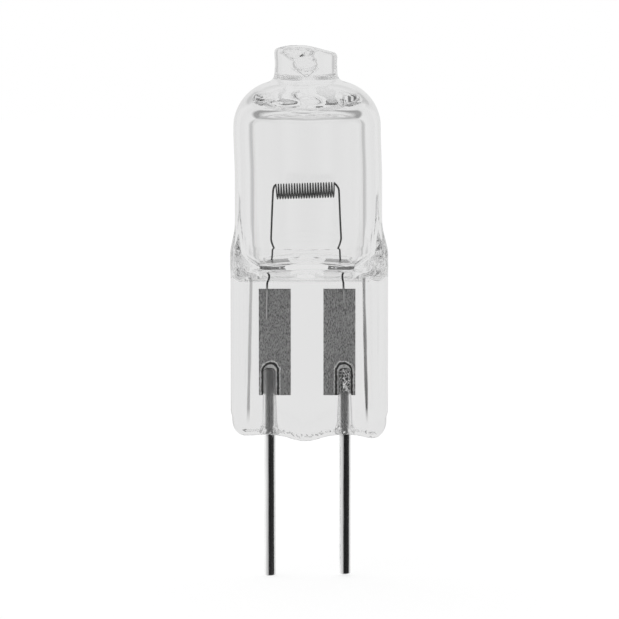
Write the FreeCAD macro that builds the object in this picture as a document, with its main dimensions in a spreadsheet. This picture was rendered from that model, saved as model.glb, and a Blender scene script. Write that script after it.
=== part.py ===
import FreeCAD, Part
import math
import os

import Sketcher
from FreeCAD import Vector

# A low-voltage halogen capsule bulb, upright, with its two contact pins downwards.
# +Z points to the exhaust tip, +X runs from the left pin to the right one, and the
# origin lies midway between the pins at the lowest point of the glass foot. Heights
# are measured from there. All sizes are in millimetres.
SIZES = (
    ("body_diameter", 7.82, "outside of the round tube"),
    ("wall_thickness", 1.0, "quartz wall of the tube and its dome"),
    ("dome_top", 19.15, "height of the dome"),
    ("shoulder_radius", 2.45, "round from the tube's side to the dome"),
    ("tip_diameter", 3.4, "stub left where the exhaust tube was melted off"),
    ("tip_top", 20.95, "height of the stub's rim"),
    ("tip_fillet", 0.25, "round between the dome and the stub"),
    ("tip_rim_radius", 0.2, "round on the stub's rim"),
    ("rim_flat", 0.55, "reach of the level part of the rim to the right"),
    ("rim_drop", 0.45, "fall of the rim at its right side"),
    ("pit_mouth_diameter", 2.2, "mouth of the hollow in the stub"),
    ("pit_floor_diameter", 0.7, "floor of that hollow"),
    ("pit_depth", 1.5, "depth of that hollow"),
    ("pit_offset", 0.38, "distance of the hollow's axis to the left of the tube's"),
    ("seal_width", 8.4, "width of the pressed seal"),
    ("seal_thickness", 3.0, "thickness of the seal's two side beads"),
    ("seal_offset", 0.12, "distance of the seal's middle to the right of the tube's"),
    ("seal_top", 10.2, "height where the seal reaches its full width"),
    ("flare_height", 1.9, "height over which the tube widens to the seal"),
    ("flare_inset", 0.1, "depth inside the tube where the flare ends"),
    ("bead_radius", 1.0, "round of the side beads"),
    ("bead_width", 1.35, "width of each side bead beside the flat web"),
    ("recess_depth", 0.4, "depth of the web's recess, front and back"),
    ("web_drop", 0.35, "distance of the recess's top under the tube's slope"),
    ("web_corner_radius", 0.5, "round of the recess's upper corners"),
    ("recess_slope", 0.3, "reach of the slope round the recess's rim"),
    ("throat_top", 10.6, "height where the tube starts to close"),
    ("throat_ledge", 0.5, "reach of the tube's closed end in front of the seal's face"),
    ("throat_slope", 0.5, "height of the slope from that ledge back to the seal"),
    ("throat_sink", 0.2, "depth inside the seal where the slope ends"),
    ("foot_corner_radius", 0.7, "round of the seal's lower corners"),
    ("foot_rise", 0.3, "height of the foot beside its middle bulge"),
    ("bulge_width", 3.0, "width of the bulge between the pins"),
    ("floor_thickness", 0.7, "quartz under the chamber's lowest point"),
    ("pin_spacing", 4.0, "distance between the pins' axes"),
    ("pin_diameter", 0.65, "contact pin"),
    ("pin_length", 7.35, "pin below the foot"),
    ("pin_seal_length", 3.85, "pin inside the seal"),
    ("pin_end_radius", 0.2, "round of the pin's free end"),
    ("channel_gap", 0.13, "space between a pin and the quartz"),
    ("channel_rise", 0.3, "space between a pin's upper end and the quartz"),
    ("collar_diameter", 1.3, "open mouth round a pin at the foot"),
    ("collar_height", 0.75, "height of that mouth's cone"),
    ("foil_width", 1.7, "sealing foil"),
    ("foil_length", 5.73, "sealing foil"),
    ("foil_thickness", 0.03, "sealing foil at its middle"),
    ("foil_edge_width", 0.3, "width over which the foil's edges thin out"),
    ("foil_base", 2.33, "height of the foils' lower ends"),
    ("foil_inset", 0.28, "distance of a foil's middle inwards from its pin's axis"),
    ("wire_diameter", 0.075, "filament wire"),
    ("coil_diameter", 0.85, "outside of the coil"),
    ("coil_pitch", 0.144, "distance between turns"),
    ("coil_turns", 21.5, "turns of the coil"),
    ("coil_height", 13.3, "height of the coil's middle"),
    ("coil_offset", 0.1, "distance of the coil's middle to the left of the tube's"),
    ("coil_tilt", 1.8, "rise of the coil to the right, in degrees"),
    ("coil_tail", 0.6, "straight wire between the coil and a leg's first bend"),
    ("left_leg_reach", 2.0, "distance of the left leg from the tube's axis"),
    ("right_leg_reach", 1.88, "distance of the right leg from the tube's axis"),
    ("left_leg_end", 6.4, "height where the left leg ends on its foil"),
    ("right_leg_end", 7.3, "height where the right leg ends on its foil"),
    ("leg_rise", 0.7, "height over the chamber's lowest point where a leg runs straight down"),
    ("leg_gap", 0.02, "space between a leg and the quartz"),
    ("leg_bend_radius", 0.8, "round of the bends in the legs, where there is room for it"),
)
ALIASES = {alias for alias, _, _ in SIZES}
PAST = "1"
WIRE_SIDES = 4
TURN_SIDES = 12
LEFT, RIGHT = -1, 1
RIGHT_CORNER = 1
BEND_SHARE = 0.45

# Sums of sizes that more than one outline uses.
TUBE_RADIUS = "body_diameter / 2"
BORE_RADIUS = "( body_diameter / 2 - wall_thickness )"
DOME_RADIUS = "( body_diameter / 2 - shoulder_radius )"
TIP_RADIUS = "tip_diameter / 2"
SHOULDER_FOOT = "dome_top - shoulder_radius"
NECK_REACH = f"( {TIP_RADIUS} + tip_fillet - {DOME_RADIUS} )"
NECK_SPAN = "( shoulder_radius + tip_fillet )"
NECK_RISE = f"sqrt( {NECK_SPAN} ^ 2 - {NECK_REACH} ^ 2 )"
NECK_SHARE = f"shoulder_radius / {NECK_SPAN}"
THROAT_DEPTH = "( seal_thickness / 2 + throat_ledge )"
THROAT_RADIUS = f"( {TUBE_RADIUS} - {THROAT_DEPTH} )"
THROAT_FOOT = f"throat_top - {THROAT_RADIUS}"
THROAT_END = f"{THROAT_FOOT} - throat_slope"
FLOOR_SLOPE = f"( {THROAT_RADIUS} - wall_thickness )"
FLOOR_LOW = f"{THROAT_FOOT} + floor_thickness"
LEG_ENTRY = f"{FLOOR_LOW} + leg_rise"
SEAL_LEFT = "( seal_offset - seal_width / 2 )"
SEAL_RIGHT = "( seal_offset + seal_width / 2 )"
FLARE_TOP = "seal_top + flare_height"
FLARE_REACH = "( sqrt( body_diameter ^ 2 - seal_thickness ^ 2 ) / 2 - flare_inset )"
WEB_LEFT = f"( {SEAL_LEFT} + bead_width )"
WEB_RIGHT = f"( {SEAL_RIGHT} - bead_width )"
WEB_TOP = f"( {THROAT_END} - web_drop )"
WEB_FACE = "( seal_thickness / 2 - recess_depth )"
CHANNEL_RADIUS = "( pin_diameter / 2 + channel_gap )"
LEG_DEPTH = "( pin_diameter / 2 - wire_diameter / 2 )"

doc = FreeCAD.newDocument("halogen_capsule_bulb")


def make_sheet():
    """The sheet of driving sizes, one row each: name, value and meaning."""
    sheet = doc.addObject("Spreadsheet::Sheet", "Sizes")
    for row, (alias, size, meaning) in enumerate(SIZES, start=1):
        sheet.set(f"A{row}", alias)
        sheet.set(f"B{row}", str(size))
        sheet.set(f"C{row}", meaning)
        sheet.setAlias(f"B{row}", alias)
    doc.recompute()
    return sheet


sizes = make_sheet()


def linked(text):
    """The sum with each size's name pointing into the sheet."""
    return " ".join(f"Sizes.{word}" if word in ALIASES else word for word in text.split())


def value(text):
    """What a sum of sizes comes to."""
    return float(sizes.evalExpression(linked(text)))


def bind(thing, **sums):
    """Ties properties to sums of sizes. Two underscores in a name stand for a dot."""
    for name, text in sums.items():
        thing.setExpression(name.replace("__", "."), linked(text))


def plane(body, role):
    """One of the body's own origin planes."""
    return next(part for part in body.Origin.OriginFeatures if part.Role == role)


def new_body(name):
    """An empty body with its origin planes."""
    body = doc.addObject("PartDesign::Body", name)
    doc.recompute()
    return body


def new_sketch(body, name, role, lift=None):
    """A sketch on one of the body's planes, lifted along its normal where asked."""
    sketch = body.newObject("Sketcher::SketchObject", name)
    sketch.AttachmentSupport = (plane(body, role), [""])
    sketch.MapMode = "FlatFace"
    if lift:
        bind(sketch, AttachmentOffset__Base__z=lift)
    return sketch


def tie(sketch, kind, *spot_and_sum):
    """Adds a sized constraint to a sketch and ties it to a sum of sizes."""
    *spot, text = spot_and_sum
    rule = sketch.addConstraint(Sketcher.Constraint(kind, *spot, value(text)))
    sketch.setExpression(f"Constraints[{rule}]", linked(text))


def arc_between(start, end, radius, turn):
    """The short arc from start to end that turns left (+1) or right (-1) on its way."""
    chord = end - start
    rest = math.sqrt(max(radius**2 - chord.Length**2 / 4, 0))
    across = Vector(-chord.y, chord.x, 0).normalize()
    centre = (start + end) / 2 + across * rest * turn
    first, last = (start, end) if turn > 0 else (end, start)
    low = math.atan2(first.y - centre.y, first.x - centre.x)
    high = math.atan2(last.y - centre.y, last.x - centre.x)
    if high < low:
        high += 2 * math.pi
    return Part.ArcOfCircle(Part.Circle(centre, Vector(0, 0, 1), radius), low, high)


def draw_outline(sketch, corners):
    """Draws a closed outline whose sizes stay tied to the sheet. A corner is two sums,
    across and up. A radius and a turn after them make the stretch that follows an arc."""
    base = sketch.GeometryCount
    points = [Vector(value(corner[0]), value(corner[1]), 0) for corner in corners]
    for corner, start, end in zip(corners, points, points[1:] + points[:1]):
        if len(corner) == 2:
            sketch.addGeometry(Part.LineSegment(start, end))
        else:
            sketch.addGeometry(arc_between(start, end, value(corner[2]), corner[3]))
    ends = [(2, 1) if len(corner) > 2 and corner[3] < 0 else (1, 2) for corner in corners]
    for number, corner in enumerate(corners):
        line, after = base + number, (number + 1) % len(corners)
        meeting = (line, ends[number][1], base + after, ends[after][0])
        sketch.addConstraint(Sketcher.Constraint("Coincident", *meeting))
        tie_corner(sketch, line, ends[number][0], corner)


def tie_corner(sketch, line, end, corner):
    """Ties one end of a line to the sketch's axes, and an arc to its radius."""
    for kind, axis, text in (("DistanceX", -2, corner[0]), ("DistanceY", -1, corner[1])):
        if text == "0":
            sketch.addConstraint(Sketcher.Constraint("PointOnObject", line, end, axis))
        else:
            tie(sketch, kind, line, end, text)
    if len(corner) > 2:
        tie(sketch, "Radius", line, corner[2])


def revolve(body, name, corners):
    """Turns an outline in the XZ plane a full circle about the body's Z axis."""
    sketch = new_sketch(body, name + "_outline", "XZ_Plane")
    draw_outline(sketch, corners)
    feature = body.newObject("PartDesign::Revolution", name)
    feature.Profile = sketch
    feature.ReferenceAxis = (sketch, ["V_Axis"])
    feature.Angle = 360
    feature.Refine = False
    doc.recompute()
    return feature


def pad(body, name, sketch, length):
    """Raises a sketch by a length."""
    feature = body.newObject("PartDesign::Pad", name)
    feature.Profile = sketch
    bind(feature, Length=length)
    doc.recompute()
    return feature


def pocket(body, name, sketch, both_ways=True):
    """Cuts a sketch through the body, both ways or only along the sketch's normal."""
    before = body.Tip.Shape.Volume
    feature = body.newObject("PartDesign::Pocket", name)
    feature.Profile = sketch
    feature.Type = "ThroughAll"
    feature.Reversed = not both_ways
    if both_ways:
        feature.SideType = "Symmetric"
    doc.recompute()
    if not feature.Shape.Volume < before:
        raise RuntimeError(f"{name} cuts nothing")
    return feature


def mirror(body, name, feature):
    """Repeats a feature on the other side of the XZ plane."""
    copy = body.newObject("PartDesign::Mirrored", name)
    copy.Originals = [feature]
    copy.MirrorPlane = (plane(body, "XZ_Plane"), [""])
    body.Tip = copy
    doc.recompute()
    return copy


def dress(kind, body, name, wanted, **reach):
    """Rounds or bevels each edge of the body so far that the test picks."""
    base = body.Tip
    names = [f"Edge{i}" for i, edge in enumerate(base.Shape.Edges, 1) if wanted(edge)]
    if not names:
        raise RuntimeError(f"{name} finds no edge")
    feature = body.newObject(f"PartDesign::{kind}", name)
    feature.Base = (base, names)
    feature.Refine = False
    bind(feature, **reach)
    doc.recompute()
    return feature


def rims_recess(edge):
    """Does the edge lie along the rim of the web's recess, in front of the web?"""
    box = edge.BoundBox
    across = value(WEB_LEFT) - 1e-4 < box.XMin and box.XMax < value(WEB_RIGHT) + 1e-4
    up = value("foot_rise") + 1e-4 < box.ZMax < value(WEB_TOP) + 1e-4
    return across and up and min(abs(box.YMin), abs(box.YMax)) > value(WEB_FACE) + 1e-4


def make_tube(body):
    """The round tube with its dome and the stub of the exhaust tube, closed below."""
    revolve(body, "tube", [
        ("0", THROAT_END),
        ("seal_thickness / 2 - throat_sink", THROAT_END),
        (THROAT_DEPTH, THROAT_FOOT, THROAT_RADIUS, 1),
        (TUBE_RADIUS, "throat_top"),
        (TUBE_RADIUS, SHOULDER_FOOT, "shoulder_radius", 1),
        (f"{DOME_RADIUS} + {NECK_REACH} * {NECK_SHARE}",
         f"{SHOULDER_FOOT} + {NECK_RISE} * {NECK_SHARE}", "tip_fillet", -1),
        (TIP_RADIUS, f"{SHOULDER_FOOT} + {NECK_RISE}"),
        (TIP_RADIUS, "tip_top - tip_rim_radius", "tip_rim_radius", 1),
        (f"{TIP_RADIUS} - tip_rim_radius", "tip_top"),
        ("0", "tip_top"),
    ])


def press_seal(body):
    """The flat seal: a bar with round sides, cut to the seal's outline in front view."""
    section = new_sketch(body, "seal_section", "XY_Plane")
    back, front = "seal_thickness / 2", "( - seal_thickness / 2 )"
    draw_outline(section, [
        (f"{SEAL_LEFT} + bead_radius", front),
        (f"{SEAL_RIGHT} - bead_radius", front, "bead_radius", 1),
        (SEAL_RIGHT, f"{front} + bead_radius"),
        (SEAL_RIGHT, f"{back} - bead_radius", "bead_radius", 1),
        (f"{SEAL_RIGHT} - bead_radius", back),
        (f"{SEAL_LEFT} + bead_radius", back, "bead_radius", 1),
        (SEAL_LEFT, f"{back} - bead_radius"),
        (SEAL_LEFT, f"{front} + bead_radius", "bead_radius", 1),
    ])
    pad(body, "seal", section, FLARE_TOP)
    outside = new_sketch(body, "seal_outline", "XZ_Plane")
    low, high = f"( - {PAST} )", f"{FLARE_TOP} + {PAST}"
    bulge = "( bulge_width ^ 2 / 4 + foot_rise ^ 2 ) / ( 2 * foot_rise )"
    draw_outline(outside, [
        (f"{SEAL_LEFT} - {PAST}", low),
        (f"{SEAL_RIGHT} + {PAST}", low),
        (f"{SEAL_RIGHT} + {PAST}", high),
        (FLARE_REACH, high),
        (FLARE_REACH, FLARE_TOP),
        (SEAL_RIGHT, "seal_top"),
        (SEAL_RIGHT, "foot_rise + foot_corner_radius", "foot_corner_radius", -1),
        (f"{SEAL_RIGHT} - foot_corner_radius", "foot_rise"),
        ("bulge_width / 2", "foot_rise", bulge, -1),
        ("( - bulge_width / 2 )", "foot_rise"),
        (f"{SEAL_LEFT} + foot_corner_radius", "foot_rise", "foot_corner_radius", -1),
        (SEAL_LEFT, "foot_rise + foot_corner_radius"),
        (SEAL_LEFT, "seal_top"),
        (f"( - {FLARE_REACH} )", FLARE_TOP),
        (f"( - {FLARE_REACH} )", high),
        (f"{SEAL_LEFT} - {PAST}", high),
    ])
    pocket(body, "seal_trim", outside)


def press_web(body):
    """The recess between the side beads, front and back."""
    sketch = new_sketch(body, "web_outline", "XZ_Plane", WEB_FACE)
    draw_outline(sketch, [
        (WEB_LEFT, f"( - {PAST} )"),
        (WEB_RIGHT, f"( - {PAST} )"),
        (WEB_RIGHT, f"{WEB_TOP} - web_corner_radius", "web_corner_radius", 1),
        (f"{WEB_RIGHT} - web_corner_radius", WEB_TOP),
        (f"{WEB_LEFT} + web_corner_radius", WEB_TOP, "web_corner_radius", 1),
        (WEB_LEFT, f"{WEB_TOP} - web_corner_radius"),
    ])
    mirror(body, "web_recesses", pocket(body, "web_recess", sketch, both_ways=False))


def slope_rim(body):
    """The stub's rim falls away to the right, where the gas flame drew it off."""
    sketch = new_sketch(body, "rim_outline", "XZ_Plane")
    draw_outline(sketch, [
        ("rim_flat", "tip_top"),
        (f"{TIP_RADIUS} + {PAST}", f"tip_top - rim_drop * ( {TIP_RADIUS} + {PAST} - rim_flat )"
         f" / ( {TIP_RADIUS} - rim_flat )"),
        (f"{TIP_RADIUS} + {PAST}", f"tip_top + {PAST}"),
        ("rim_flat", f"tip_top + {PAST}"),
    ])
    pocket(body, "rim_slope", sketch)


def make_blank():
    """The glass as pressed, before its hollows."""
    body = new_body("glass_blank")
    press_seal(body)
    make_tube(body)
    slope_rim(body)
    press_web(body)
    dress("Chamfer", body, "recess_rim", rims_recess, Size="recess_slope")
    return body


def make_chamber():
    """The hollow that holds the filament: a domed bore, closed by the press below."""
    body = new_body("chamber")
    revolve(body, "bore", [
        ("0", FLOOR_LOW),
        (THROAT_DEPTH, f"throat_top - {FLOOR_SLOPE}"),
        (BORE_RADIUS, "throat_top"),
        (BORE_RADIUS, SHOULDER_FOOT, "shoulder_radius - wall_thickness", 1),
        (DOME_RADIUS, "dome_top - wall_thickness"),
        ("0", "dome_top - wall_thickness"),
    ])
    return body


def primitive(kind, name, **sums):
    """A ready-made solid whose sizes and place are tied to the sheet."""
    solid = doc.addObject(f"Part::{kind}", name)
    bind(solid, **sums)
    return solid


def make_tip_pit():
    """The funnel in the stub: what is left of the exhaust tube's bore."""
    return primitive("Cone", "tip_pit", Radius1="pit_floor_diameter / 2",
                     Radius2="pit_mouth_diameter / 2", Height="pit_depth",
                     Placement__Base__x="( - pit_offset )",
                     Placement__Base__z="tip_top - pit_depth")


def make_channel(name, side):
    """The clear space round a pin: a cone at the foot, then a bore that narrows above."""
    body = new_body(name)
    collar = "collar_diameter / 2"
    top = "pin_seal_length + channel_rise"
    revolve(body, name + "_bore", [
        ("0", f"( - {PAST} )"),
        (collar, f"( - {PAST} )"),
        (collar, "foot_rise"),
        (CHANNEL_RADIUS, "foot_rise + collar_height"),
        (CHANNEL_RADIUS, f"{top} - {CHANNEL_RADIUS} / 2"),
        (f"{CHANNEL_RADIUS} / 2", top),
        ("0", top),
    ])
    bind(body, Placement__Base__x=f"{side} * pin_spacing / 2")
    return body


def make_leg_bore(name, side, reach, end):
    """The narrow bore that a filament leg runs in, from its foil up to the chamber."""
    return primitive("Cylinder", name, Radius="wire_diameter / 2 + leg_gap",
                     Height=f"{LEG_ENTRY} - {end} + leg_gap",
                     Placement__Base__x=f"{side} * {reach}",
                     Placement__Base__y=LEG_DEPTH,
                     Placement__Base__z=f"{end} - leg_gap")


def make_foil(name, side):
    """A sealing foil behind its pin, with both long edges thinned to a knife edge."""
    body = new_body(name)
    section = new_sketch(body, name + "_section", "XY_Plane")
    half, flat = "foil_width / 2", "( foil_width / 2 - foil_edge_width )"
    thick = "foil_thickness / 2"
    draw_outline(section, [
        (f"( - {half} )", "0"),
        (f"( - {flat} )", f"( - {thick} )"),
        (flat, f"( - {thick} )"),
        (half, "0"),
        (flat, thick),
        (f"( - {flat} )", thick),
    ])
    pad(body, name + "_strip", section, "foil_length")
    bind(body, Placement__Base__x=f"{side} * ( pin_spacing / 2 - foil_inset )",
         Placement__Base__y="pin_diameter / 2 + foil_thickness / 2",
         Placement__Base__z="foil_base")
    return body


def make_pin(name, side):
    """A contact pin: straight round wire, rounded below and cut square in the seal. Its
    side is parted at the foot's lowest point, above which it is held."""
    body = new_body(name)
    radius = "pin_diameter / 2"
    revolve(body, name + "_wire", [
        ("0", "( - pin_length )"),
        (f"{radius} - pin_end_radius", "( - pin_length )", "pin_end_radius", 1),
        (radius, "pin_end_radius - pin_length"),
        (radius, "0"),
        (radius, "pin_seal_length"),
        ("0", "pin_seal_length"),
    ])
    bind(body, Placement__Base__x=f"{side} * pin_spacing / 2")
    return body


def rounded_run(points, radius):
    """Straight runs through the points, joined by tangent arcs."""
    edges, last = [], points[0]
    for before, corner, after in zip(points, points[1:], points[2:]):
        back, on = (before - corner).normalize(), (after - corner).normalize()
        half = back.getAngle(on) / 2
        shorter = min(corner.distanceToPoint(before), corner.distanceToPoint(after))
        reach = min(radius / math.tan(half), shorter * BEND_SHARE)
        start, end = corner + back * reach, corner + on * reach
        middle = corner + (back + on).normalize() * (reach / math.cos(half) - reach * math.tan(half))
        edges.append(Part.LineSegment(last, start).toShape())
        edges.append(Part.Arc(start, middle, end).toShape())
        last = end
    edges.append(Part.LineSegment(last, points[-1]).toShape())
    return edges


def coil_points():
    """The coil's line, point by point: a helix about a level axis, tilted and lifted."""
    radius = value("coil_diameter / 2 - wire_diameter / 2")
    turns, pitch = value("coil_turns"), value("coil_pitch")
    tilt = FreeCAD.Rotation(Vector(0, -1, 0), value("coil_tilt"))
    middle = Vector(-value("coil_offset"), 0, value("coil_height"))
    steps = round(turns * TURN_SIDES)
    points = []
    for step in range(steps + 1):
        turn = turns * step / steps
        angle = 2 * math.pi * turn
        spot = Vector(pitch * (turn - turns / 2), radius * math.cos(angle), radius * math.sin(angle))
        points.append(middle + tilt.multVec(spot))
    return points


def leg_run(tip, side, reach, end):
    """A leg from the coil's end down into the seal and on to its foil."""
    depth = value(LEG_DEPTH)
    across = side * value(reach)
    return [
        tip,
        tip - Vector(0, 0, value("coil_tail")),
        Vector(across, depth, value(LEG_ENTRY)),
        Vector(across, depth, value(end)),
    ]


def make_filament():
    """One tungsten wire: a leg up from the left foil, the coil, and a leg down again.
    Its section and its turns have few sides, which keeps the fine coil light."""
    coil = coil_points()
    left = leg_run(coil[0], LEFT, "left_leg_reach", "left_leg_end")
    right = leg_run(coil[-1], RIGHT, "right_leg_reach", "right_leg_end")
    bend = value("leg_bend_radius")
    turns = Part.makePolygon(coil).Edges
    path = Part.Wire(rounded_run(left[::-1], bend) + turns + rounded_run(right, bend))
    start, radius = left[-1], value("wire_diameter / 2")
    ring = [start + Vector(math.cos(turn), math.sin(turn), 0) * radius
            for turn in (2 * math.pi * step / WIRE_SIDES for step in range(WIRE_SIDES + 1))]
    filament = doc.addObject("Part::Feature", "filament")
    filament.Shape = path.makePipeShell([Part.makePolygon(ring)], True, False, RIGHT_CORNER)
    return filament


def make_glass(foils):
    """The envelope: the blank, less the chamber, the pit and all that the seal holds."""
    hollows = [make_chamber(), make_tip_pit()]
    hollows.append(make_channel("left_channel", LEFT))
    hollows.append(make_channel("right_channel", RIGHT))
    hollows.append(make_leg_bore("left_leg_bore", LEFT, "left_leg_reach", "left_leg_end"))
    hollows.append(make_leg_bore("right_leg_bore", RIGHT, "right_leg_reach", "right_leg_end"))
    space = doc.addObject("Part::MultiFuse", "hollows")
    space.Shapes = hollows + foils
    glass = doc.addObject("Part::Cut", "glass_envelope")
    glass.Base = make_blank()
    glass.Tool = space
    return glass


def make_parts():
    """All the pieces, each named as its node."""
    foils = [make_foil("foil_left", LEFT), make_foil("foil_right", RIGHT)]
    pins = [make_pin("pin_left", LEFT), make_pin("pin_right", RIGHT)]
    parts = [make_glass(foils), make_filament(), *foils, *pins]
    for part in parts:
        part.Label = part.Name
    doc.recompute()
    return parts


def check(parts):
    """Stops unless every object is up to date and every piece is a sound solid."""
    for thing in doc.Objects:
        if "Invalid" in thing.State or "Error" in thing.State:
            raise RuntimeError(f"{thing.Label} failed: {thing.State}")
    for part in parts:
        if part.Shape.isNull() or not part.Shape.isValid() or not part.Shape.Solids:
            raise RuntimeError(f"{part.Label} has no sound shape")


parts = make_parts()
check(parts)
os.makedirs("parts", exist_ok=True)
for part in parts:
    part.Shape.exportStep(f"parts/{part.Label}.step")
    print(part.Label, len(part.Shape.Solids), round(part.Shape.Volume, 4))
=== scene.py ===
import math
from types import SimpleNamespace

import bpy
import numpy as np
from bpy.props import FloatProperty, IntProperty, PointerProperty
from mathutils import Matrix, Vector


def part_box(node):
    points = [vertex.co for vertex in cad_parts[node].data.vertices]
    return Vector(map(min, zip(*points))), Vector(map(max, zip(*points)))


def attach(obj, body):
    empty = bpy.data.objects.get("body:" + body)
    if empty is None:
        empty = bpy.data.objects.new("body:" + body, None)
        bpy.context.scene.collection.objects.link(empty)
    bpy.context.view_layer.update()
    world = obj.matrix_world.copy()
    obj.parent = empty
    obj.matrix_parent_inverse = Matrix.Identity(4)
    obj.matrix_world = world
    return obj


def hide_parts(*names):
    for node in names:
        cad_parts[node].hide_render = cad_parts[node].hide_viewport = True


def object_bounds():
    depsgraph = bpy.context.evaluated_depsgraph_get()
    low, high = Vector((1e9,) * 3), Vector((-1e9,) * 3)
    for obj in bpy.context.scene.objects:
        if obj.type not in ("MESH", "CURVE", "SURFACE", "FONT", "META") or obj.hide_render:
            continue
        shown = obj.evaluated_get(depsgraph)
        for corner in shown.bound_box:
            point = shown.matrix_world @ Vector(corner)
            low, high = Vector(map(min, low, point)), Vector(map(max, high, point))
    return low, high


bl_info = {
    "name": "Halogen Capsule Bulb",
    "version": (1, 0, 0),
    "blender": (4, 5, 0),
    "location": "View3D > Sidebar > Bulb",
    "description": "Builds a clear halogen capsule bulb round its frame",
    "category": "Object",
}

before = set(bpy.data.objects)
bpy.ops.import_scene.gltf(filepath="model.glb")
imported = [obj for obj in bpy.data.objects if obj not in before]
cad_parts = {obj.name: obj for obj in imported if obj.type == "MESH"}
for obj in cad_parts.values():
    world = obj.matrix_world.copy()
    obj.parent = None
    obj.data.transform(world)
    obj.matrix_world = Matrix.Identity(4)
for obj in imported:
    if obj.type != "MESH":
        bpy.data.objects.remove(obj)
FRAME_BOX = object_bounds()
GLASS_LOW, GLASS_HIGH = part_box("glass_envelope")
PIN_LOW, PIN_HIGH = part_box("pin_right")
MM = 0.001

# In millimetres, as every bare number in the shapes below.
PIN_REACH = (PIN_LOW.x + PIN_HIGH.x) / 2 / MM
PIN_RADIUS = (PIN_HIGH.x - PIN_LOW.x) / 2 / MM
FOIL_TOP = 8.06
# The tube's wall is plain between these heights, and its mesh wider there.
PLAIN_WALL = (11.8, 16.4)
# The places, across and up, that each leg passes on its way down from the coil.
LEFT_STOPS = ((-1.8, 13.45), (-1.88, 12.0), (-1.95, 10.6), (-2.02, 9.3), (-2.12, 8.4),
              (-2.16, 6.4))
RIGHT_STOPS = ((1.69, 13.44), (1.76, 12.0), (1.84, 10.6), (1.88, 9.3), (1.93, 8.4),
               (1.96, 7.3))


def length(name, description, default):
    """A size in metres."""
    return FloatProperty(name=name, description=description, default=default, min=0,
                         subtype="DISTANCE", unit="LENGTH", precision=5)


def place(name, description, default):
    """A height or offset in metres, which may be negative."""
    return FloatProperty(name=name, description=description, default=default,
                         subtype="DISTANCE", unit="LENGTH", precision=5)


def tone(name, description, default):
    """A grey, from black at 0 to white at 1."""
    return FloatProperty(name=name, description=description, default=default, min=0, max=1,
                         subtype="FACTOR")


class GlassSizes(bpy.types.PropertyGroup):
    """The quartz envelope."""
    cell: length("Cell", "Grid step of the glass mesh", 0.095 * MM)
    tube_radius: length("Tube Radius", "Outside of the round tube", 3.905 * MM)
    dome_top: place("Dome Top", "Height of the dome", 19.12 * MM)
    shoulder: length("Shoulder", "Round from the side to the dome", 2.45 * MM)
    wall: length("Wall", "Thickness of the tube's wall", 1.0 * MM)
    chamber_top: place("Chamber Top", "Top of the chamber", 17.6 * MM)
    chamber_corner: length("Chamber Corner", "Round of the chamber's upper edge", 0.8 * MM)
    throat: place("Throat", "Height where the tube starts to close", 10.47 * MM)
    tip_radius: length("Tip Radius", "Outside of the exhaust stub", 1.68 * MM)
    tip_top: place("Tip Top", "Height of the stub's rim", GLASS_HIGH.z - 0.02 * MM)
    seal_reach: length("Seal Reach", "Half the seal's width", 4.178 * MM)
    seal_middle: place("Seal Middle", "Seal's middle, right of the tube's axis", 0.12 * MM)
    seal_depth: length("Seal Depth", "Half the thickness of the side beads", 1.5 * MM)
    web_depth: length("Web Depth", "Half the thickness of the web", 1.1 * MM)
    web_top: place("Web Top", "Height where the recess ends", 8.05 * MM)
    channel_radius: length("Channel Radius", "Clear space round a pin", 0.46 * MM)
    channel_top: place("Channel Top", "Height where the quartz closes on a pin", 2.5 * MM)


class FilamentSizes(bpy.types.PropertyGroup):
    """The coil and its legs."""
    wire: length("Wire", "Diameter of the coil's wire", 0.076 * MM)
    leg: length("Leg", "Diameter of a leg", 0.108 * MM)
    coil: length("Coil", "Outside diameter of the coil", 0.85 * MM)
    pitch: length("Pitch", "Distance between turns", 0.141 * MM)
    turns: FloatProperty(name="Turns", description="Turns of the coil", default=22)
    height: place("Height", "Height of the coil's middle", 13.3 * MM)
    middle: place("Middle", "Coil's middle, right of the tube's axis", -0.1 * MM)
    lean: FloatProperty(name="Lean", default=0.04,
                        description="How far a turn leans left, as a share of its depth")
    spread: FloatProperty(name="Spread", default=0.04,
                          description="Share that the coil gains in length a millimetre behind")
    tilt: FloatProperty(name="Tilt", description="Rise of the coil to the right",
                        default=math.radians(1.8), subtype="ANGLE", unit="ROTATION")


class StageSettings(bpy.types.PropertyGroup):
    """The light tent round the bulb, the floor and the view."""
    tent: tone("Tent", "Tone that the glass shows of the tent", 0.785)
    dark_side: tone("Dark Side", "Tone that the metal shows of the camera's side", 0.015)
    floor_glow: tone("Floor Glow", "Light of the floor's own", 0.76)
    elevation: FloatProperty(name="Elevation", description="Camera's height angle",
                             default=math.radians(6), subtype="ANGLE", unit="ROTATION")
    view_width: IntProperty(name="View Width", description="Width of the view in pixels",
                            default=619, subtype="PIXEL")


def in_mm(group):
    """A group's lengths as plain numbers in millimetres, and its other values as they are."""
    kinds = group.bl_rna.properties
    return SimpleNamespace(**{
        name: getattr(group, name) / (MM if kinds[name].unit == "LENGTH" else 1)
        for name in group.__annotations__})


# Shapes as fields in millimetres: negative inside the glass, zero on its surface.
def smooth_min(a, b, blend):
    """Joins two fields with a rounded inner corner."""
    near = np.maximum(blend - np.abs(a - b), 0) / blend
    return np.minimum(a, b) - near * near * blend / 4


def smooth_max(a, b, blend):
    """Cuts one field by another with a rounded outer edge."""
    return -smooth_min(-a, -b, blend)


def rounded_corner(across, up, radius):
    """Distance to a corner rounded by a radius, measured from the round's centre."""
    outside = np.hypot(np.maximum(across, 0), np.maximum(up, 0))
    return outside + np.minimum(np.maximum(across, up), 0) - radius


def bump(value, middle, width):
    """A smooth hump of height 1."""
    return np.exp(-(((value - middle) / width) ** 2))


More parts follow.
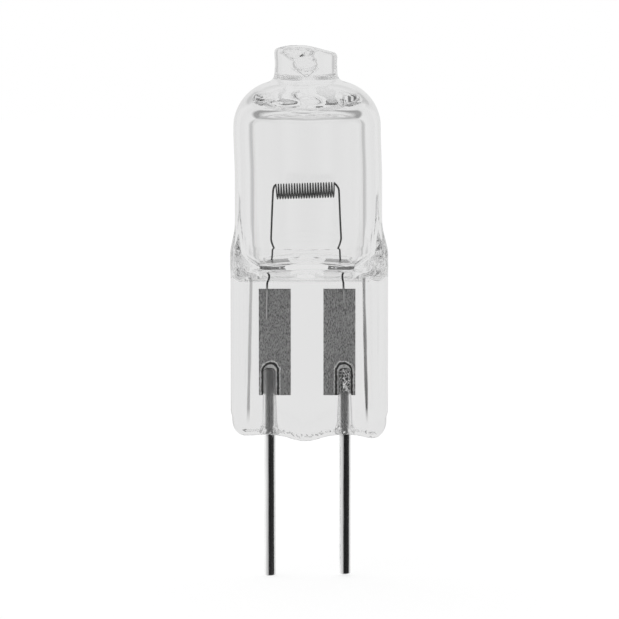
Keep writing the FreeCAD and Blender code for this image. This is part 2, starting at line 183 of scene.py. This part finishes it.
def ease(value, start, end):
    """A smooth rise from 0 at start to 1 at end."""
    t = np.clip((value - start) / (end - start), 0, 1)
    return t * t * (3 - 2 * t)


def ripple(x, y, z, size):
    """An uneven surface between -1 and 1 whose humps are about as wide as the size."""
    x, y, z = x / size, y / size, z / size
    coarse = np.sin(x + 1.7 * np.sin(0.9 * z + 0.5)) * np.sin(1.1 * y + 1.4 * np.sin(1.2 * x + 2))
    fine = np.sin(1.9 * z + 1.3 * np.sin(1.7 * y)) * np.sin(2.3 * x + 1.1 * np.sin(1.5 * z + 1))
    return (coarse + fine) / 2


def tube_axis(z):
    """How far the tube's axis lies to the right at a height."""
    return 0.07 * (1 - ease(z, 14, 16.5))


def shut_field(y, z, top, depth):
    """How a tube closes downwards: straight at first, then round to a level end. Its y
    is a share of the tube's radius."""
    drop = (top - z) / depth
    round_end = (np.sqrt(np.sqrt(y**4 + np.maximum(drop, 0) ** 4)) - 1) * depth
    return round_end + np.minimum(drop, 0)


def tube_field(g, x, y, z):
    """The outside of the round tube, domed above and pressed shut below."""
    r = np.hypot(x - tube_axis(z), y)
    centre = g.tube_radius - g.shoulder
    dome = rounded_corner(r - centre, z - (g.dome_top - g.shoulder), g.shoulder)
    closing_depth, ledge_round = 1.38, 0.55
    closing = shut_field(y / g.tube_radius, z, g.throat, closing_depth)
    return smooth_max(dome, closing, ledge_round)


def chamber_field(g, x, y, z):
    """The chamber: a flat-topped bore with round corners, pressed to a trough below."""
    r = np.hypot(x - tube_axis(z), y)
    reach = g.tube_radius - g.wall
    dimple, uneven = 0.03 * bump(r, 0, 0.8), 0.016 * ripple(x, y, z, 0.8)
    crown = 0.06 * (r / reach) ** 2 - (dimple + uneven) * ease(z, 16.8, 17.4)
    top = rounded_corner(r - (reach - g.chamber_corner),
                         z - (g.chamber_top - crown - g.chamber_corner), g.chamber_corner)
    hump, sides = 0.28 * bump(np.hypot(x + 0.05, 0.5 * y), 0, 0.68), ease(np.abs(x), 2.2, 2.9)
    floor_top, floor_depth, floor_round = g.throat - 0.05 + (hump + 0.3 * sides), 0.9, 0.3
    return smooth_max(top, shut_field(y / reach, z, floor_top, floor_depth), floor_round)


def tip_field(g, x, y, z):
    """The stub of the exhaust tube, with a melted, sloping rim."""
    across = x + 0.06
    turn, r = np.arctan2(y, across), np.hypot(across, y)
    wave = 0.03 * np.sin(3 * turn + 0.6) + 0.02 * np.sin(5 * turn - 1)
    waist = 0.04 * bump(z, 20.0, 0.5)
    side = r - g.tip_radius - wave + waist
    fall = 0.32 * ease(x, -0.3, 1.6) + 0.07 * ease(-x, 1.0, 1.7)
    top = z - (g.tip_top - fall)
    root = g.dome_top - 1 - z
    return np.maximum(smooth_max(side, top, 0.3), root)


def pit_field(g, x, y, z):
    """The stub's hollow: a wide mouth over a narrow pit with a round, drawn-out bottom."""
    fall = g.tip_top - z
    r = np.hypot(x + 0.48 - 0.4 * ease(fall, 0, 0.9), y)
    radius = 1.08 - 0.55 * ease(fall, 0, 0.6) + 0.035 * ripple(x, y, z, 0.3)
    bottom_round, bottom, tail_bottom = 0.4, 1.05, 1.82
    pit = rounded_corner(r - radius + bottom_round, fall - bottom, bottom_round)
    tail = np.maximum(r - 0.25 + 0.6 * np.maximum(fall - 1.42, 0), fall - tail_bottom)
    return smooth_min(pit, tail, 0.1)


def foot_line(x):
    """Height of the foot's lower edge along the seal's width."""
    middle = 0.36 * bump(x, -0.1, 1.05)
    right = 0.2 * bump(x, 3.5, 0.7)
    left = 0.05 * bump(x, -3.2, 0.7)
    return 0.37 - middle - right - left


def seal_field(g, x, y, z):
    """The pressed seal: a flat bar with side beads, a recessed web and a bulged foot."""
    reach = g.seal_reach - 0.75 * ease(z, 9.9, 12.3)
    bead, foot_corner, top = 1.05, 0.8, 12.6
    from_middle, deep = np.abs(x - g.seal_middle), np.abs(y)
    bar = rounded_corner(from_middle - (reach - bead), deep - (g.seal_depth - bead), bead)
    left, right = -3.2, 3.2 + 0.12 * ease(-z, -8.6, -1)
    recess = np.maximum(left - x, x - right)
    fade = ease(z, g.web_top + 0.4, g.web_top + 1.2) + 0.45 * (1 - ease(z, 0.3, 2.8))
    floor = g.web_depth + (g.seal_depth - g.web_depth + 0.3) * fade - deep
    bar = smooth_max(bar, -smooth_max(recess, floor, 0.5), 0.5)
    foot = rounded_corner(from_middle - (g.seal_reach - foot_corner),
                          foot_line(x) + foot_corner - z, foot_corner)
    bar = smooth_max(bar, foot - np.maximum(z - 1.3, 0), 0.3)
    return smooth_max(bar, z - top, 0.4)


def channel_field(g, x, y, z, side):
    """The clear space round a pin, which narrows up to where the quartz has closed on
    it, and is ragged at the foot."""
    r = np.hypot(x - side * PIN_REACH, y)
    mouth = 1 - ease(z, 0.2, 1.0)
    radius = g.channel_radius - 0.04 * z + mouth * (0.18 + 0.1 * ripple(x, y, z, 0.13))
    return smooth_max(r - radius, z - g.channel_top, 0.1)


def glass_field(g, x, y, z):
    """The whole envelope with its hollows."""
    solid = smooth_min(tube_field(g, x, y, z), tip_field(g, x, y, z), 0.4)
    seal_blend = 0.45 + 0.35 * ease(np.abs(y), 0.9, 1.5)
    solid = smooth_min(solid, seal_field(g, x, y, z), seal_blend)
    rough_foot = 0.035 * (1 - ease(z, 0.2, 0.6)) * ripple(x, y, z, 0.11)
    solid = smooth_max(solid + np.abs(rough_foot), -pit_field(g, x, y, z), 0.22)
    solid = smooth_max(solid, -chamber_field(g, x, y, z), 0.08)
    for side in (-1, 1):
        solid = smooth_max(solid, -channel_field(g, x, y, z, side), 0.1)
    return solid


def slope(field, points, step):
    """The field's gradient at the points, by central differences."""
    columns = []
    for axis in range(3):
        shift = np.zeros(3)
        shift[axis] = step
        ahead, behind = points + shift, points - shift
        columns.append((field(*ahead.T) - field(*behind.T)) / (2 * step))
    return np.stack(columns, axis=1)


def grid_line(low, high, cell, plain=()):
    """Grid values that run past both ends, twice as wide apart in a plain stretch."""
    line = [low - 2.5 * cell]
    while line[-1] < high + 2.5 * cell:
        wide = plain and plain[0] < line[-1] < plain[1]
        line.append(line[-1] + cell * (2 if wide else 1))
    return np.array(line)


CORNERS = np.array([[n & 1, n >> 1 & 1, n >> 2 & 1] for n in range(8)])
EDGES = [(a, b) for a in range(8) for b in range(a + 1, 8) if bin(a ^ b).count("1") == 1]


def skin_field(field, axes, cell):
    """The field's zero surface as vertices, quads and normals, with one vertex to each
    grid cell that the surface crosses."""
    shape = [len(axis) for axis in axes]
    values = np.empty(shape)
    x, y = np.meshgrid(axes[0], axes[1], indexing="ij")
    for layer, z in enumerate(axes[2]):
        values[:, :, layer] = field(x, y, np.full_like(x, z))
    inside = values < 0
    count = sum(inside[i:shape[0] - 1 + i, j:shape[1] - 1 + j, k:shape[2] - 1 + k].astype(np.int8)
                for i, j, k in CORNERS)
    cells = np.argwhere((count > 0) & (count < 8))
    number = np.full(count.shape, -1)
    number[tuple(cells.T)] = np.arange(len(cells))
    total, crossings = np.zeros((len(cells), 3)), np.zeros((len(cells), 1))
    heights = [values[tuple((cells + corner).T)] for corner in CORNERS]
    for a, b in EDGES:
        crossed = (heights[a] < 0) != (heights[b] < 0)
        gap = np.where(crossed, heights[a] - heights[b], 1)
        along = np.where(crossed, heights[a] / gap, 0)[:, None]
        total += crossed[:, None] * (CORNERS[a] + along * (CORNERS[b] - CORNERS[a]))
        crossings += crossed[:, None]
    spots = cells + total / crossings
    points = np.stack([np.interp(spot, np.arange(len(axis)), axis)
                       for spot, axis in zip(spots.T, axes)], axis=1)
    step = cell / 50
    for _ in range(3):
        rise = slope(field, points, step)
        shift = rise * (field(*points.T) / np.maximum((rise**2).sum(1), 1e-9))[:, None]
        points -= np.clip(shift, -cell / 2, cell / 2)
    normals = slope(field, points, step)
    normals /= np.linalg.norm(normals, axis=1)[:, None]
    return points, skin_quads(inside, number), normals


def skin_quads(inside, number):
    """A quad round each grid edge that the surface crosses, facing outwards."""
    quads = []
    for axis in range(3):
        turned = (axis, (axis + 1) % 3, (axis + 2) % 3)
        here = np.moveaxis(inside, turned, (0, 1, 2))
        cells = np.moveaxis(number, turned, (0, 1, 2))
        start, end = here[:-1, 1:-1, 1:-1], here[1:, 1:-1, 1:-1]
        i, j, k = np.argwhere(start != end).T
        ring = np.stack([cells[i, j, k], cells[i, j + 1, k],
                         cells[i, j + 1, k + 1], cells[i, j, k + 1]], axis=1)
        outwards = start[i, j, k]
        ring[~outwards] = ring[~outwards][:, ::-1]
        quads.append(ring)
    return np.concatenate(quads)


def new_piece(name, points, faces, normals=None):
    """A smooth mesh object from points in millimetres and faces."""
    mesh = bpy.data.meshes.new(name)
    mesh.from_pydata((np.asarray(points) * MM).tolist(), [], faces)
    mesh.shade_smooth()
    if normals is not None:
        mesh.normals_split_custom_set_from_vertices(normals.tolist())
    piece = bpy.data.objects.new(name, mesh)
    bpy.context.scene.collection.objects.link(piece)
    return piece


def settle(piece, slot, material, *nodes):
    """Gives a piece its finish and lets it stand for its CAD nodes."""
    piece.data.materials.append(material)
    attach(piece, "root")
    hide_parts(*nodes)


def rod(name, points, radii, sides):
    """A closed round rod along the points, its section carried on without a twist."""
    ahead = np.gradient(points, axis=0)
    ahead /= np.linalg.norm(ahead, axis=1)[:, None]
    turns = 2 * math.pi * np.arange(sides) / sides
    side = np.cross(ahead[0], (0, 1, 0.1))
    rings = []
    for point, tangent, radius in zip(points, ahead, radii):
        side = side - tangent * side.dot(tangent)
        side /= np.linalg.norm(side)
        other = np.cross(tangent, side)
        ring = np.outer(np.cos(turns), side) + np.outer(np.sin(turns), other)
        rings.append(point + radius * ring)
    faces = [(ring * sides + corner, ring * sides + (corner + 1) % sides,
              (ring + 1) * sides + (corner + 1) % sides, (ring + 1) * sides + corner)
             for ring in range(len(points) - 1) for corner in range(sides)]
    last = (len(points) - 1) * sides
    faces += [tuple(range(sides))[::-1], tuple(range(last, last + sides))]
    return new_piece(name, np.concatenate(rings), faces)


# Finishes.
def new_material(name):
    """A material with its node tree and its shader."""
    material = bpy.data.materials.new(name)
    material.use_nodes = True
    return material, material.node_tree, material.node_tree.nodes["Principled BSDF"]


def plug(tree, node, inputs):
    """Fills a node's inputs, given as links or plain values."""
    for socket, given in inputs.items():
        if isinstance(given, bpy.types.NodeSocket):
            tree.links.new(given, node.inputs[socket])
        else:
            node.inputs[socket].default_value = given


def add_node(tree, kind, inputs=(), **settings):
    """A node with its settings and its inputs."""
    node = tree.nodes.new(kind)
    for name, setting in settings.items():
        setattr(node, name, setting)
    plug(tree, node, dict(inputs))
    return node


def grey(level):
    """A neutral colour of a level."""
    return (level, level, level, 1)


def add_ramp(tree, factor, stops):
    """A colour ramp through greys, each stop a place and a level."""
    node = add_node(tree, "ShaderNodeValToRGB", {"Fac": factor})
    elements = node.color_ramp.elements
    elements[0].position, elements[0].color = stops[0][0], grey(stops[0][1])
    elements[1].position, elements[1].color = stops[-1][0], grey(stops[-1][1])
    for spot, level in stops[1:-1]:
        elements.new(spot).color = grey(level)
    return node.outputs["Color"]


def add_grain(tree, scale, stretch, **inputs):
    """Noise in the object's own space, drawn out by a stretch."""
    spot = add_node(tree, "ShaderNodeTexCoord").outputs["Object"]
    spread = add_node(tree, "ShaderNodeMapping", {"Vector": spot, "Scale": stretch})
    noise = add_node(tree, "ShaderNodeTexNoise",
                     {"Vector": spread.outputs["Vector"], "Scale": scale, **inputs})
    return noise.outputs["Fac"]


def add_bump(tree, height, strength, distance):
    """A bump that follows a height, for a shader's normal."""
    node = add_node(tree, "ShaderNodeBump",
                    {"Height": height, "Strength": strength, "Distance": distance})
    return node.outputs["Normal"]


def calc(tree, operation, *values):
    """One step of arithmetic on links and plain numbers."""
    node = add_node(tree, "ShaderNodeMath", dict(enumerate(values)), operation=operation)
    return node.outputs[0]


def mix_tones(tree, factor, first, second, blend="MIX"):
    """Two tones mixed or multiplied by a factor, kept between black and white."""
    first_tone, second_tone, mixed_tone = 6, 7, 2
    node = add_node(tree, "ShaderNodeMix",
                    {"Factor": factor, first_tone: first, second_tone: second},
                    data_type="RGBA", blend_type=blend, clamp_result=True)
    return node.outputs[mixed_tone]


def object_place(tree):
    """The shaded spot's x, y and z in millimetres."""
    spot = add_node(tree, "ShaderNodeTexCoord").outputs["Object"]
    split = add_node(tree, "ShaderNodeSeparateXYZ", {"Vector": spot})
    return [calc(tree, "DIVIDE", socket, MM) for socket in split.outputs]


def quartz_material():
    """Clear fused quartz with faint drawn streaks in its surface, and a broken line of painted
    shade down each side bead, on the front only and darker on the right, standing in for the dark
    line that light bent at the bead gives. The heights of that line's ramp are shares of 10 mm."""
    material, tree, shader = new_material("clear_quartz")
    x, y, z = object_place(tree)
    # Painted shade: a broken dark line down each side bead, on the front only and darker on the
    # right.
    right = calc(tree, "GREATER_THAN", x, 0)
    front = calc(tree, "LESS_THAN", y, 0)
    foot_reach = calc(tree, "MULTIPLY_ADD", right, 0.05, 3.15)
    crease = calc(tree, "MULTIPLY_ADD", z, -0.022, foot_reach)
    off = calc(tree, "ABSOLUTE", calc(tree, "SUBTRACT", calc(tree, "ABSOLUTE", x), crease))
    broken = add_grain(tree, 900, (1, 1, 0.5), Detail=3.0)
    wide = calc(tree, "MULTIPLY_ADD", broken, 0.1, calc(tree, "SUBTRACT", off, 0.05))
    shade_line_band = add_ramp(tree, wide, ((0.05, 1), (0.09, 0)))
    tall = add_ramp(tree, calc(tree, "DIVIDE", z, 10), (
        (0.1, 0), (0.18, 1), (0.6, 0.92), (0.87, 0.85), (0.89, 0)))
    dark = calc(tree, "MULTIPLY", front, calc(tree, "MULTIPLY_ADD", right, 0.23, 0.74))
    painted_bead_shade = calc(tree, "MULTIPLY", calc(tree, "MULTIPLY", shade_line_band, tall), dark)
    streaks = add_grain(tree, 700, (1, 1, 0.12), Detail=2.0)
    plug(tree, shader, {"Base Color": calc(tree, "SUBTRACT", 0.985, painted_bead_shade), "Roughness": 0,
                        "IOR": 1.458, "Transmission Weight": 1,
                        "Normal": add_bump(tree, streaks, 0.12, 0.05 * MM)})
    return material


def tungsten_material():
    """Dull grey drawn tungsten, bright where a leg's end lies on its foil. The heights of
    that ramp are shares of 10 mm."""
    material, tree, shader = new_material("drawn_tungsten")
    grain = add_grain(tree, 9000, (1, 1, 1), Detail=3.0)
    z = object_place(tree)[2]
    welded = add_ramp(tree, calc(tree, "DIVIDE", z, 10), ((0.79, 0.6), (0.83, 0)))
    dull = add_ramp(tree, grain, ((0.3, 0.008), (0.7, 0.035)))
    plug(tree, shader, {"Base Color": mix_tones(tree, welded, dull, grey(0.8)),
                        "Metallic": 1, "Roughness": 0.35})
    return material


def foil_material():
    """Rolled molybdenum foil, mottled by its oxide and by the press. Along a pin's side and round
    its end, where it is creased round the pin, a black line of painted shadow is drawn, with
    painted highlights on both sides of that."""
    material, tree, shader = new_material("oxidised_foil")
    grain = add_grain(tree, 19000, (1, 1, 0.4), Detail=4.0, Roughness=0.75)
    x, _, z = object_place(tree)
    pin_end = 3.66
    inwards = calc(tree, "SUBTRACT", PIN_REACH, calc(tree, "ABSOLUTE", x))
    above = calc(tree, "MAXIMUM", calc(tree, "SUBTRACT", z, pin_end), 0)
    away = calc(tree, "SQRT", calc(tree, "ADD", calc(tree, "MULTIPLY", inwards, inwards),
                                   calc(tree, "MULTIPLY", above, above)))
    jagged = calc(tree, "MULTIPLY_ADD", add_grain(tree, 6000, (1, 1, 1), Detail=2.0), 0.12, away)
    inner_side = add_ramp(tree, calc(tree, "MULTIPLY_ADD", inwards, 2.0, 0.5), ((0, 0), (1, 1)))
    creased = calc(tree, "MULTIPLY_ADD", inner_side, -0.08, calc(tree, "ADD", jagged, 0.05))
    # Painted shadow and highlights: black in a band round the pin where the foil is creased, and
    # brighter than the foil on both sides of it.
    painted_shadow_and_highlight = add_ramp(tree, creased, ((0.41, 2.2), (0.425, 0.005), (0.54, 0.005), (0.555, 1.8),
                                     (0.6, 1.4), (0.65, 0.56)))
    mottled = add_ramp(tree, grain, ((0.38, 0.16), (0.63, 1.0)))
    plug(tree, shader, {"Base Color": mix_tones(tree, 1.0, mottled, painted_shadow_and_highlight, "MULTIPLY"),
                        "Roughness": 0.6, "Normal": add_bump(tree, grain, 0.4, 0.02 * MM)})
    return material


def pin_material(name, scaled):
    """Bright drawn wire with fine lengthwise marks, darker inside the seal, with a painted dark
    core and painted bright edges along its length.
    A scaled one is cracked and pitted at its welded end. The heights of the ramps are
    shares of 5 mm."""
    material, tree, shader = new_material(name)
    x, _, z = object_place(tree)
    high = calc(tree, "DIVIDE", z, 5)
    marks = add_grain(tree, 12000, (1, 1, 0.05), Detail=3.0)
    drawn = add_ramp(tree, marks, ((0, 0.6), (1, 0.8)))
    seal_darkening_and_painted_shade = add_ramp(tree, high, ((0.02, 1.0), (0.1, 0.36), (0.7, 0.26)))
    # Painted shade and highlight across the pin: a dark core a little off its middle and bright
    # edges, as light falls on round metal.
    inwards = calc(tree, "SUBTRACT", calc(tree, "ABSOLUTE", x), PIN_REACH - 0.5)
    painted_core_shade_and_edge_highlight = add_ramp(tree, inwards, ((0.2, 1.9), (0.34, 1.0), (0.46, 0.6), (0.58, 0.6), (0.8, 1.9)))
    seal_darkening_and_painted_shade = calc(tree, "MINIMUM", calc(tree, "MULTIPLY", seal_darkening_and_painted_shade, painted_core_shade_and_edge_highlight), 1.0)
    tinted, height = mix_tones(tree, 1.0, drawn, seal_darkening_and_painted_shade, "MULTIPLY"), marks
    if scaled:
        spot = add_node(tree, "ShaderNodeTexCoord").outputs["Object"]
        cracks = add_node(tree, "ShaderNodeTexVoronoi", {"Vector": spot, "Scale": 6200.0},
                          feature="DISTANCE_TO_EDGE").outputs["Distance"]
        scale = add_ramp(tree, cracks, ((0, 1.0), (0.05, 0.5), (0.12, 0.02)))
        welded = add_ramp(tree, high, ((0.5, 0), (0.54, 1.0)))
        tinted = mix_tones(tree, welded, tinted, scale)
        height = calc(tree, "MULTIPLY_ADD", calc(tree, "MULTIPLY", cracks, welded), 6, marks)
    plug(tree, shader, {"Base Color": tinted, "Metallic": 1, "Roughness": 0.2,
                        "Normal": add_bump(tree, height, 0.3, 0.02 * MM)})
    return material


class BuildGlass(bpy.types.Operator):
    """Blows and presses the quartz envelope"""
    bl_idname = "bulb.glass"
    bl_label = "Glass Envelope"

    def execute(self, context):
        g = in_mm(context.scene.bulb_glass)
        low, high = GLASS_LOW / MM, GLASS_HIGH / MM
        axes = [grid_line(low.x, high.x, g.cell), grid_line(low.y, high.y, g.cell),
                grid_line(low.z, high.z, g.cell, plain=PLAIN_WALL)]
        points, quads, normals = skin_field(lambda *spot: glass_field(g, *spot), axes, g.cell)
        if not len(quads):
            raise RuntimeError("the glass has no surface")
        piece = new_piece("quartz_envelope", points, quads.tolist(), normals)
        settle(piece, "quartz_glass", quartz_material(), "glass_envelope")
        return {"FINISHED"}


class BuildFilament(bpy.types.Operator):
    """Winds the coil and bends its legs"""
    bl_idname = "bulb.filament"
    bl_label = "Filament"

    def execute(self, context):
        s = in_mm(context.scene.bulb_filament)
        radius, steps_per_turn = (s.coil - s.wire) / 2, 24
        turn = np.linspace(0, s.turns, round(s.turns * steps_per_turn) + 1)
        along = (turn - s.turns / 2) * s.pitch
        up = radius * np.cos(2 * math.pi * turn)
        coil = np.stack([s.middle + along * math.cos(s.tilt) - up * math.sin(s.tilt),
                         radius * np.sin(2 * math.pi * turn),
                         s.height + along * math.sin(s.tilt) + up * math.cos(s.tilt)], axis=1)
        coil[:, 0] += coil[:, 1] * (s.spread * coil[:, 0] - s.lean)
        left = self.leg(coil[0], LEFT_STOPS, s)
        right = self.leg(coil[-1], RIGHT_STOPS, s)
        points = np.concatenate([left[::-1], coil, right])
        radii = [s.leg / 2] * len(left) + [s.wire / 2] * len(coil) + [s.leg / 2] * len(right)
        piece = rod("coiled_filament", points, radii, 10)
        settle(piece, "tungsten_wire", tungsten_material(), "filament")
        return {"FINISHED"}

    def leg(self, tip, stops, s):
        """A leg's points through its stops, without the coil's own end. It swings from
        the coil's front to the foil's depth on its way down."""
        depth = PIN_HIGH.y / MM - s.leg / 2
        heights = np.array([tip[2]] + [z for _, z in stops])
        across = np.array([tip[0]] + [x for x, _ in stops])
        down = np.linspace(heights[0], heights[-1], 60)[1:]
        x = np.interp(-down, -heights, across)
        x[1:-1] = (x[:-2] + 2 * x[1:-1] + x[2:]) / 4
        y = tip[1] + (depth - tip[1]) * ease(-down, -tip[2] + 0.2, -10.2)
        return np.stack([x, y, down], axis=1)


class BuildFoils(bpy.types.Operator):
    """Lays the two sealing foils, thinned to their edges"""
    bl_idname = "bulb.foils"
    bl_label = "Sealing Foils"

    def execute(self, context):
        material, columns, rows = foil_material(), 25, 60
        edge_half, middle_half, edge_width = 0.004, 0.015, 0.3
        back = columns * rows
        for name in ("foil_left", "foil_right"):
            low, high = (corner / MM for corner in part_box(name))
            across = np.linspace(low.x, high.x, columns)
            from_edge = np.minimum(across - low.x, high.x - across)
            thick = edge_half + (middle_half - edge_half) * np.minimum(from_edge / edge_width, 1)
            points, faces = [], []
            for side in (-1, 1):
                for up in np.linspace(low.z, FOIL_TOP, rows):
                    wave = 0.004 * np.sin(9 * across + 2 * up) + 0.003 * np.sin(23 * across)
                    y = (low.y + high.y) / 2 + wave + side * thick
                    points += list(zip(across, y, [up] * columns))
            for row in range(rows - 1):
                for column in range(columns - 1):
                    a = row * columns + column
                    ring = (a, a + 1, a + columns + 1, a + columns)
                    faces += [ring, tuple(back + b for b in ring[::-1])]
            rim = [*range(columns), *range(2 * columns - 1, back, columns),
                   *range(back - 2, back - columns - 1, -1),
                   *range(back - 2 * columns, 0, -columns)]
            faces += [(b, a, a + back, b + back) for a, b in zip(rim, rim[1:] + rim[:1])]
            settle(new_piece(f"sealing_{name}", points, faces), "sealing_foil", material, name)
        return {"FINISHED"}


class BuildPins(bpy.types.Operator):
    """Draws the two contact pins"""
    bl_idname = "bulb.pins"
    bl_label = "Contact Pins"

    def execute(self, context):
        foot_round, end_round, steps, right_shorter = 0.07, 0.22, 38, 0.08
        low, high = PIN_LOW.z / MM, PIN_HIGH.z / MM
        turn = np.linspace(0, math.pi / 2, 9)
        heights = np.concatenate([
            low + foot_round * (1 - np.cos(turn)),
            np.linspace(low + foot_round, high - end_round, steps + 2)[1:-1],
            high - end_round * (1 - np.cos(turn[::-1]))])
        widening = np.sin(turn) - 1
        radii = PIN_RADIUS + np.concatenate([
            foot_round * widening, np.zeros(steps), end_round * widening[::-1]])
        for name, side, shorter in (("left", -1, 0), ("right", 1, right_shorter)):
            lifted = heights + shorter * (heights < low + 1)
            points = np.array([(side * PIN_REACH, 0, z) for z in lifted])
            piece = rod(f"contact_pin_{name}", points, radii, 48)
            material = pin_material(f"drawn_wire_{name}", scaled=side > 0)
            settle(piece, "contact_pin", material, f"pin_{name}")
        return {"FINISHED"}


class BuildStage(bpy.types.Operator):
    """Sets the floor, the light round the bulb and the camera"""
    bl_idname = "bulb.stage"
    bl_label = "Stage"

    def execute(self, context):
        settings = context.scene.bulb_stage
        self.light_world(context, settings)
        self.lay_floor(settings)
        self.place_camera(context, settings)
        context.scene.view_settings.view_transform = "Standard"
        paths = context.scene.cycles
        paths.max_bounces = paths.glossy_bounces = paths.transmission_bounces = 32
        return {"FINISHED"}

    def light_world(self, context, settings):
        """A light tent: the glass shows its even tone, with darker sides and roof, and the
        metal its dark front and bright back. The ground behind the bulb is white."""
        world = bpy.data.worlds.new("light_tent")
        context.scene.world = world
        world.use_nodes = True
        tree = world.node_tree
        tree.nodes.clear()
        direction = add_node(tree, "ShaderNodeTexCoord").outputs["Generated"]
        turn, metal_light = math.radians(37), 1.35
        facing = add_node(tree, "ShaderNodeVectorMath", {
            0: direction, 1: (math.sin(turn), -math.cos(turn), 0)}, operation="DOT_PRODUCT")
        half = add_node(tree, "ShaderNodeMapRange", {
            "Value": facing.outputs["Value"], "From Min": -1.0}).outputs["Result"]
        dark = settings.dark_side
        metal_tone = add_ramp(tree, half, (
            (0, 1), (0.2, 1), (0.34, 0.72), (0.73, 0.68), (0.78, dark), (1, dark)))
        x, y, z = add_node(tree, "ShaderNodeSeparateXYZ", {"Vector": direction}).outputs
        sides = add_ramp(tree, calc(tree, "ABSOLUTE", x), (
            (0.72, 1), (0.8, 0.66), (0.88, 0.66), (0.94, 1)))
        roof = add_ramp(tree, z, ((0.44, 1), (0.52, 0.4), (0.6, 0.4), (0.7, 1)))
        front = add_ramp(tree, calc(tree, "MULTIPLY", y, -1.0), ((0.85, 1), (1, 0.75)))
        shaded = calc(tree, "MULTIPLY", calc(tree, "MULTIPLY", sides, roof), front)
        glass_tone = calc(tree, "MULTIPLY", shaded, settings.tent)
        path = add_node(tree, "ShaderNodeLightPath")
        metal = add_node(tree, "ShaderNodeBackground",
                         {"Color": metal_tone, "Strength": metal_light})
        glass = add_node(tree, "ShaderNodeBackground", {"Color": glass_tone})
        white = add_node(tree, "ShaderNodeBackground", {"Color": grey(1)})
        in_glass = calc(tree, "MAXIMUM", path.outputs["Is Transmission Ray"],
                        path.outputs["Is Singular Ray"])
        around = add_node(tree, "ShaderNodeMixShader", {
            0: in_glass, 1: metal.outputs[0], 2: glass.outputs[0]})
        seen = add_node(tree, "ShaderNodeMixShader", {
            0: path.outputs["Is Camera Ray"], 1: around.outputs[0], 2: white.outputs[0]})
        add_node(tree, "ShaderNodeOutputWorld", {"Surface": seen.outputs[0]})

    def lay_floor(self, settings):
        """A white floor under the pins, which glass and metal look through."""
        level, size = FRAME_BOX[0].z / MM, 400
        floor = new_piece("floor", [(-size, -size, level), (size, -size, level),
                                    (size, size, level), (-size, size, level)], [(0, 1, 2, 3)])
        material, tree, _ = new_material("white_floor")
        tree.nodes.clear()
        path = add_node(tree, "ShaderNodeLightPath")
        beyond = calc(tree, "MAXIMUM", path.outputs["Is Glossy Ray"],
                      path.outputs["Is Transmission Ray"])
        dull = add_node(tree, "ShaderNodeBsdfDiffuse", {"Color": grey(0.3)})
        glow = add_node(tree, "ShaderNodeEmission", {"Strength": settings.floor_glow})
        both = add_node(tree, "ShaderNodeAddShader", {0: dull.outputs[0], 1: glow.outputs[0]})
        clear = add_node(tree, "ShaderNodeBsdfTransparent")
        mix = add_node(tree, "ShaderNodeMixShader", {
            0: beyond, 1: both.outputs[0], 2: clear.outputs[0]})
        add_node(tree, "ShaderNodeOutputMaterial", {"Surface": mix.outputs[0]})
        floor.data.materials.append(material)

    def place_camera(self, context, settings):
        """The camera looks at the bulb's front from a little above, and a millimetre of the
        bulb is 18.8 pixels of its view."""
        pixels_per_mm, up = 18.8, settings.elevation
        middle = Vector((0.128, 0, 6.94)) * MM
        camera = bpy.data.cameras.new("camera")
        camera.lens, camera.sensor_width = 250, 36
        view_width = settings.view_width / pixels_per_mm * MM
        distance = view_width * camera.lens / camera.sensor_width
        stand = bpy.data.objects.new("camera", camera)
        context.scene.collection.objects.link(stand)
        stand.location = middle + Vector((0, -math.cos(up), math.sin(up))) * distance
        stand.rotation_euler = (math.pi / 2 - up, 0, 0)
        camera.clip_start, camera.clip_end = 0.01, 10
        context.scene.camera = stand


STEPS = (BuildGlass, BuildFilament, BuildFoils, BuildPins, BuildStage)


class BulbPanel(bpy.types.Panel):
    """Lists the steps that build the bulb"""
    bl_idname = "VIEW3D_PT_bulb"
    bl_label = "Halogen Capsule Bulb"
    bl_space_type = "VIEW_3D"
    bl_region_type = "UI"
    bl_category = "Bulb"

    def draw(self, context):
        for step in STEPS:
            self.layout.operator(step.bl_idname)


GROUPS = {"bulb_glass": GlassSizes, "bulb_filament": FilamentSizes, "bulb_stage": StageSettings}


def register():
    for group in (*GROUPS.values(), *STEPS, BulbPanel):
        bpy.utils.register_class(group)
    for name, group in GROUPS.items():
        setattr(bpy.types.Scene, name, PointerProperty(type=group))


def unregister():
    for name in GROUPS:
        delattr(bpy.types.Scene, name)
    for group in (BulbPanel, *reversed(STEPS), *GROUPS.values()):
        bpy.utils.unregister_class(group)


def main():
    """Builds everything in order."""
    register()
    bpy.ops.bulb.glass()
    bpy.ops.bulb.filament()
    bpy.ops.bulb.foils()
    bpy.ops.bulb.pins()
    bpy.ops.bulb.stage()


if __name__ == "__main__":
    main()
